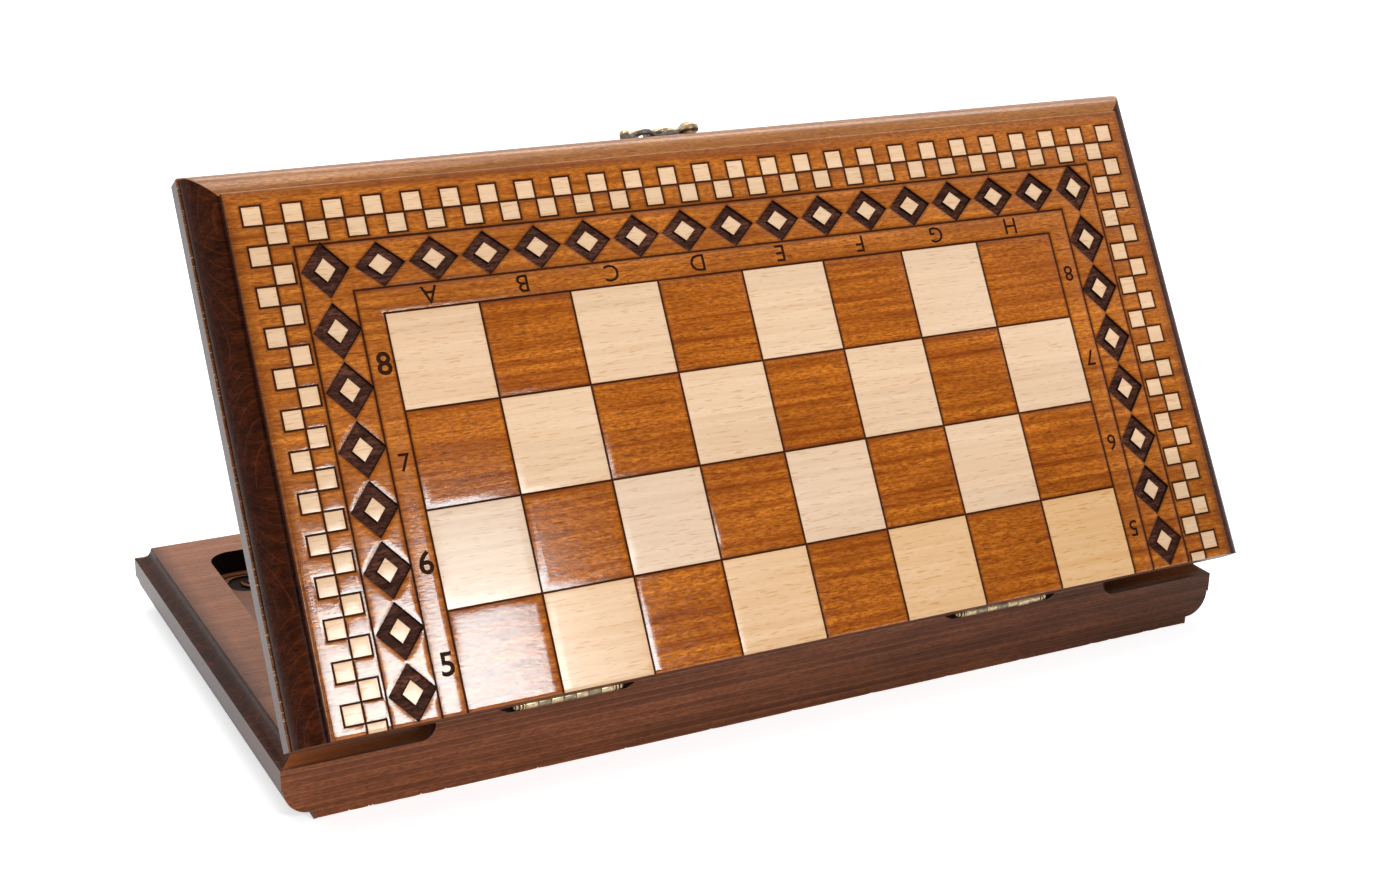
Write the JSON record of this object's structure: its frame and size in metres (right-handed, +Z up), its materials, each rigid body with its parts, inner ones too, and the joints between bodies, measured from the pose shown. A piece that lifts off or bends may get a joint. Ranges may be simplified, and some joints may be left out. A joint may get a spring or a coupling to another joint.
{
  "type": "folding chess board box",
  "caption": "Folding wooden chess-board box: hinged moulded halves with a tray inside each, checkered playing face outside and a brass swing-hook latch.",
  "frame": {"origin": "centre of the lower half's playing face, which lies on the table", "axes": "+X along the hinge line, +Y from the hinge edge to the free edge of the lower half, +Z up out of its tray"},
  "size_m": [0.5, 0.2852, 0.2604],
  "materials": {
    "stained_beech": "stained edge-glued beech under satin to gloss lacquer",
    "hinge_brass": "aged yellow brass, worn bright on the knuckles",
    "latch_brass": "antique cast brass with dark hollows",
    "screw_brass": "plain turned brass"
  },
  "bodies": {
    "lower_half": {"lower_stave_1": "stained_beech", "lower_stave_2": "stained_beech", "lower_stave_3": "stained_beech", "lower_stave_4": "stained_beech", "lower_stave_5": "stained_beech", "left_hinge_lower_leaf": "hinge_brass", "left_hinge_pin": "hinge_brass", "left_hinge_finials": "hinge_brass", "left_hinge_lower_screws": "screw_brass", "right_hinge_lower_leaf": "hinge_brass", "right_hinge_pin": "hinge_brass", "right_hinge_finials": "hinge_brass", "right_hinge_lower_screws": "screw_brass", "catch_stud": "latch_brass", "catch_collar": "latch_brass"},
    "upper_half": {"upper_stave_1": "stained_beech", "upper_stave_2": "stained_beech", "upper_stave_3": "stained_beech", "upper_stave_4": "stained_beech", "upper_stave_5": "stained_beech", "left_hinge_upper_leaf": "hinge_brass", "left_hinge_upper_screws": "screw_brass", "right_hinge_upper_leaf": "hinge_brass", "right_hinge_upper_screws": "screw_brass", "latch_pivot_screw": "latch_brass", "latch_spacer": "latch_brass"},
    "latch_hook": {"latch_hook": "latch_brass"}
  },
  "joints": [
    {"name": "board_fold", "type": "hinge", "parent": "lower_half", "child": "upper_half", "pos_m": [0, -0.12515, 0.03365], "axis": [1, 0, 0], "range_deg": [-58.6, 121.4]},
    {"name": "hook_swing", "type": "hinge", "parent": "upper_half", "child": "latch_hook", "pos_m": [0, -0.00519, 0.2535], "axis": [0, -0.521, -0.8536], "range_deg": [-90, 90]}
  ]
}
